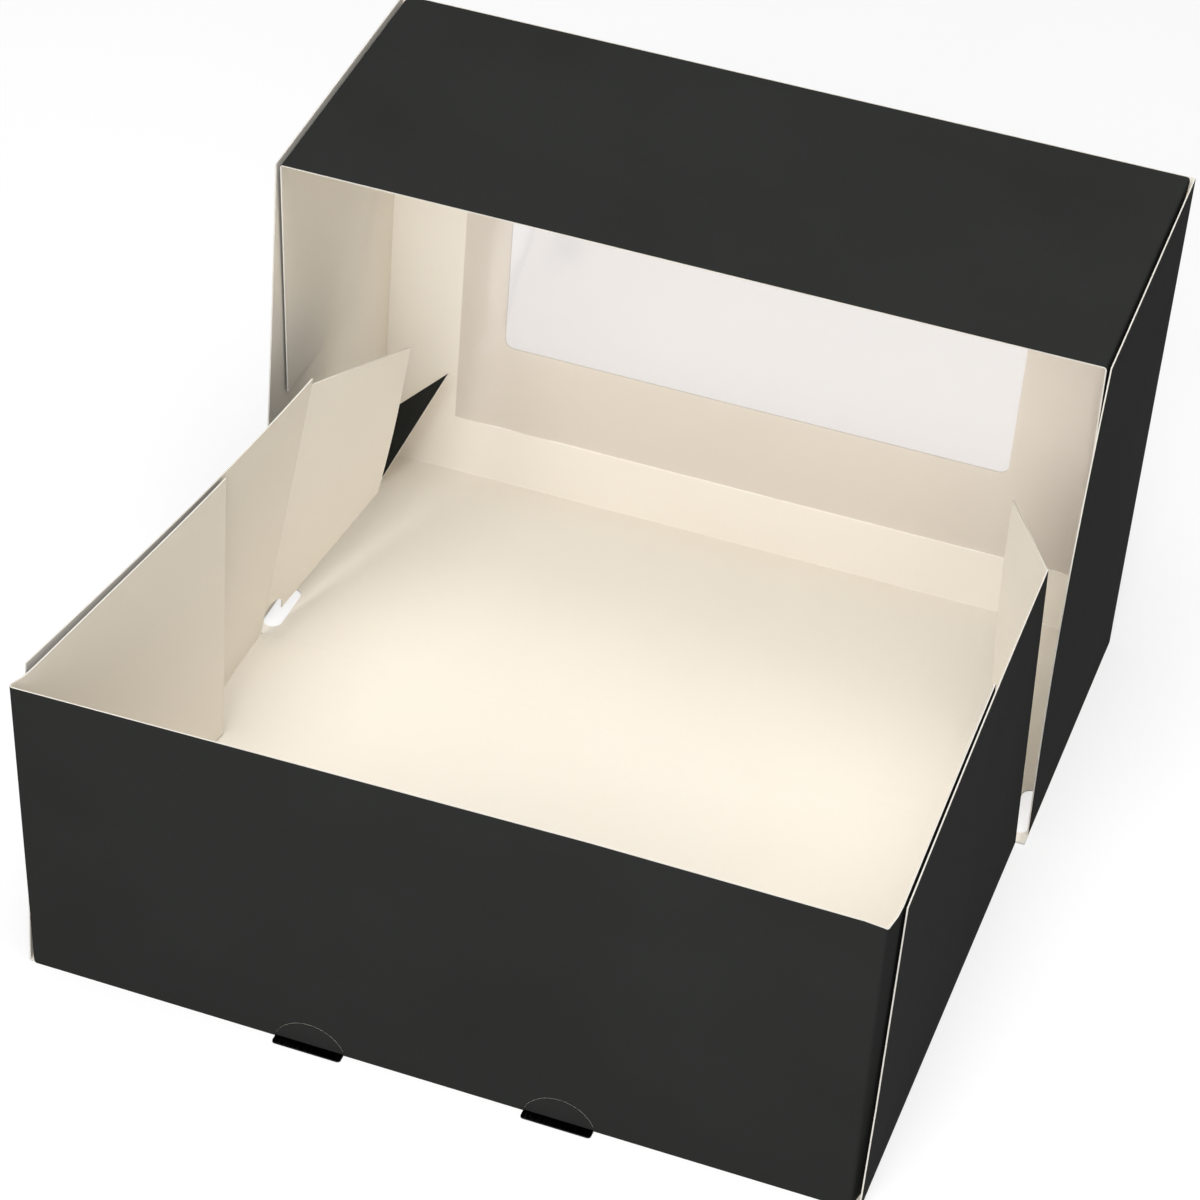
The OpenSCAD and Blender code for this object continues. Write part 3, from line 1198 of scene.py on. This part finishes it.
class Studio:
    """The floor, lamps, world and camera."""

    def __init__(self, sizes: BoxSizes) -> None:
        """Keeps the sizes; the floor and the rest of the stage do not use them."""
        self.sizes = sizes

    @staticmethod
    def seen(nodes: bpy.types.Nodes, link: Callable) -> bpy.types.NodeSocket:
        """A mask that is 1 for rays from the camera and those mirrored or let through on their way.

        Args:
            nodes: The node tree's nodes.
            link: The node tree's link function.

        Returns:
            The mask's socket.
        """
        path = nodes.new("ShaderNodeLightPath")
        either = nodes.new("ShaderNodeMath")
        either.operation = "MAXIMUM"
        link(path.outputs["Is Camera Ray"], either.inputs[0])
        link(path.outputs["Is Transmission Ray"], either.inputs[1])
        both = nodes.new("ShaderNodeMath")
        both.operation = "MAXIMUM"
        link(path.outputs["Is Glossy Ray"], both.inputs[0])
        link(either.outputs[0], both.inputs[1])
        return both.outputs[0]

    def floor(self) -> bpy.types.Object:
        """A pale floor that shows white to the camera and keeps the box's shadow.

        Returns:
            The floor.
        """
        mesh = bpy.data.meshes.new("floor")
        r = 6.0
        mesh.from_pydata([(-r, -r, 0), (r, -r, 0), (r, r, 0), (-r, r, 0)], [], [(0, 1, 2, 3)])
        obj = bpy.data.objects.new("floor", mesh)
        bpy.context.scene.collection.objects.link(obj)
        obj.location.z = -0.0002
        material = bpy.data.materials.new("floor_white")
        material.use_nodes = True
        nodes, link = material.node_tree.nodes, material.node_tree.links.new
        shader = nodes["Principled BSDF"]
        shader.inputs["Base Color"].default_value = (0.40, 0.40, 0.40, 1)
        shader.inputs["Roughness"].default_value = 0.9
        shader.inputs["Specular IOR Level"].default_value = 0.0
        glow = nodes.new("ShaderNodeEmission")
        seen = self.seen(nodes, link)
        level = nodes.new("ShaderNodeMath")
        level.operation = "MULTIPLY"
        level.inputs[1].default_value = 0.64
        link(seen, level.inputs[0])
        link(level.outputs[0], glow.inputs["Strength"])
        total = nodes.new("ShaderNodeAddShader")
        link(shader.outputs["BSDF"], total.inputs[0])
        link(glow.outputs["Emission"], total.inputs[1])
        link(total.outputs["Shader"], nodes["Material Output"].inputs["Surface"])
        mesh.materials.append(material)
        return obj

    def world(self) -> None:
        """A plain soft fill that shows white to the camera."""
        world = bpy.data.worlds.new("studio")
        world.use_nodes = True
        nodes, link = world.node_tree.nodes, world.node_tree.links.new
        background = nodes["Background"]
        background.inputs["Color"].default_value = (1, 1, 1, 1)
        level = nodes.new("ShaderNodeMapRange")
        level.inputs["To Min"].default_value = 0.18
        level.inputs["To Max"].default_value = 1.0
        link(self.seen(nodes, link), level.inputs["Value"])
        link(level.outputs["Result"], background.inputs["Strength"])
        bpy.context.scene.world = world

    def lamp(self, name: str, place: tuple[float, float, float], aim: tuple[float, float, float], size: float,
             watts: float, colour: tuple[float, float, float] = (1, 1, 1)) -> None:
        """Adds one soft area lamp.

        Args:
            name: Name of the lamp.
            place: Its position in metres.
            aim: The point that it faces.
            size: Side of its square in metres.
            watts: Its power.
            colour: Its colour.
        """
        light = bpy.data.lights.new(name, "AREA")
        light.shape = "SQUARE"
        light.size = size
        light.energy = watts
        light.color = colour
        obj = bpy.data.objects.new(name, light)
        bpy.context.scene.collection.objects.link(obj)
        obj.location = place
        obj.rotation_euler = (Vector(aim) - Vector(place)).to_track_quat("-Z", "Y").to_euler()

    def lamps(self) -> None:
        """The key from the front, a broad top light and a low fill."""
        self.lamp("key", (-0.10, -1.35, 1.05), (0, 0, 0.05), 1.0, 12.0)
        self.lamp("top", (0.15, -0.25, 1.70), (0, -0.10, 0.0), 1.2, 19.5)
        self.lamp("fill", (0.30, -1.80, 0.70), (0, 0.05, 0.08), 1.2, 14.0)

    def camera(self) -> None:
        """Sets the camera as fitted to the photograph."""
        data = bpy.data.cameras.new("camera")
        data.sensor_width = 36.0
        data.sensor_fit = "HORIZONTAL"
        data.lens = 114.34
        data.shift_x = -0.0198
        data.shift_y = 0.0333
        data.clip_start = 0.05
        data.clip_end = 30.0
        obj = bpy.data.objects.new("camera", data)
        bpy.context.scene.collection.objects.link(obj)
        right = Vector((0.93937774, 0.3383972, 0.0552882))
        down = Vector((0.25415746, -0.57895288, -0.77473708))
        ahead = Vector((-0.2301596, 0.74182268, -0.62986162))
        turn = Matrix((right, -down, -ahead)).transposed().to_4x4()
        obj.matrix_world = Matrix.Translation((0.25328654, -0.80524310, 0.73913834)) @ turn
        bpy.context.scene.camera = obj

    def build(self) -> None:
        """Builds the whole stage."""
        self.floor()
        self.world()
        self.lamps()
        self.camera()
        bpy.context.scene.view_settings.view_transform = "Standard"


@dataclass
class CakeBox:
    """The whole carton, piece by piece."""

    sizes: BoxSizes = field(default_factory=BoxSizes)
    finishes: Finishes = field(default_factory=Finishes)

    def settle(self, piece: bpy.types.Object, node: str, body: str) -> None:
        """Hands one piece to the frame.

        Args:
            piece: The piece in place.
            node: The solid that it stands for.
            body: The body that it rides on.
        """
        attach(piece, body)
        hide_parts(node)
        LOG.info("%s: %d faces on %s", piece.name, len(piece.data.polygons), body)

    def build(self) -> None:
        """Builds every piece in order."""
        s, f = self.sizes, self.finishes
        lid = Lid(s, f)
        self.settle(Tray(s, f).build(), "tray", "base")
        self.settle(lid.build(), "lid", "lid")
        self.settle(WindowFilm(s, f, lid).build(), "window_film", "lid")
        self.settle(FrontSkirt(s, f).build(), "front_skirt", "front_skirt")
        for side, word in ((-1, "left"), (1, "right")):
            flap = RearFlap(s, f, side, f"{word}_rear_flap_card").build()
            self.settle(flap, f"{word}_rear_flap", f"{word}_flap")
        for side, word in ((-1, "left"), (1, "right")):
            corner = CornerFlap(s, f, side, f"{word}_corner_card").build()
            self.settle(corner, f"{word}_corner_flap", f"{word}_corner")


def main() -> None:
    """Builds the box and its stage."""
    logging.basicConfig(level=logging.INFO, format="%(name)s %(message)s")
    CakeBox().build()
    Studio(BoxSizes()).build()


if __name__ == "__main__":
    main()
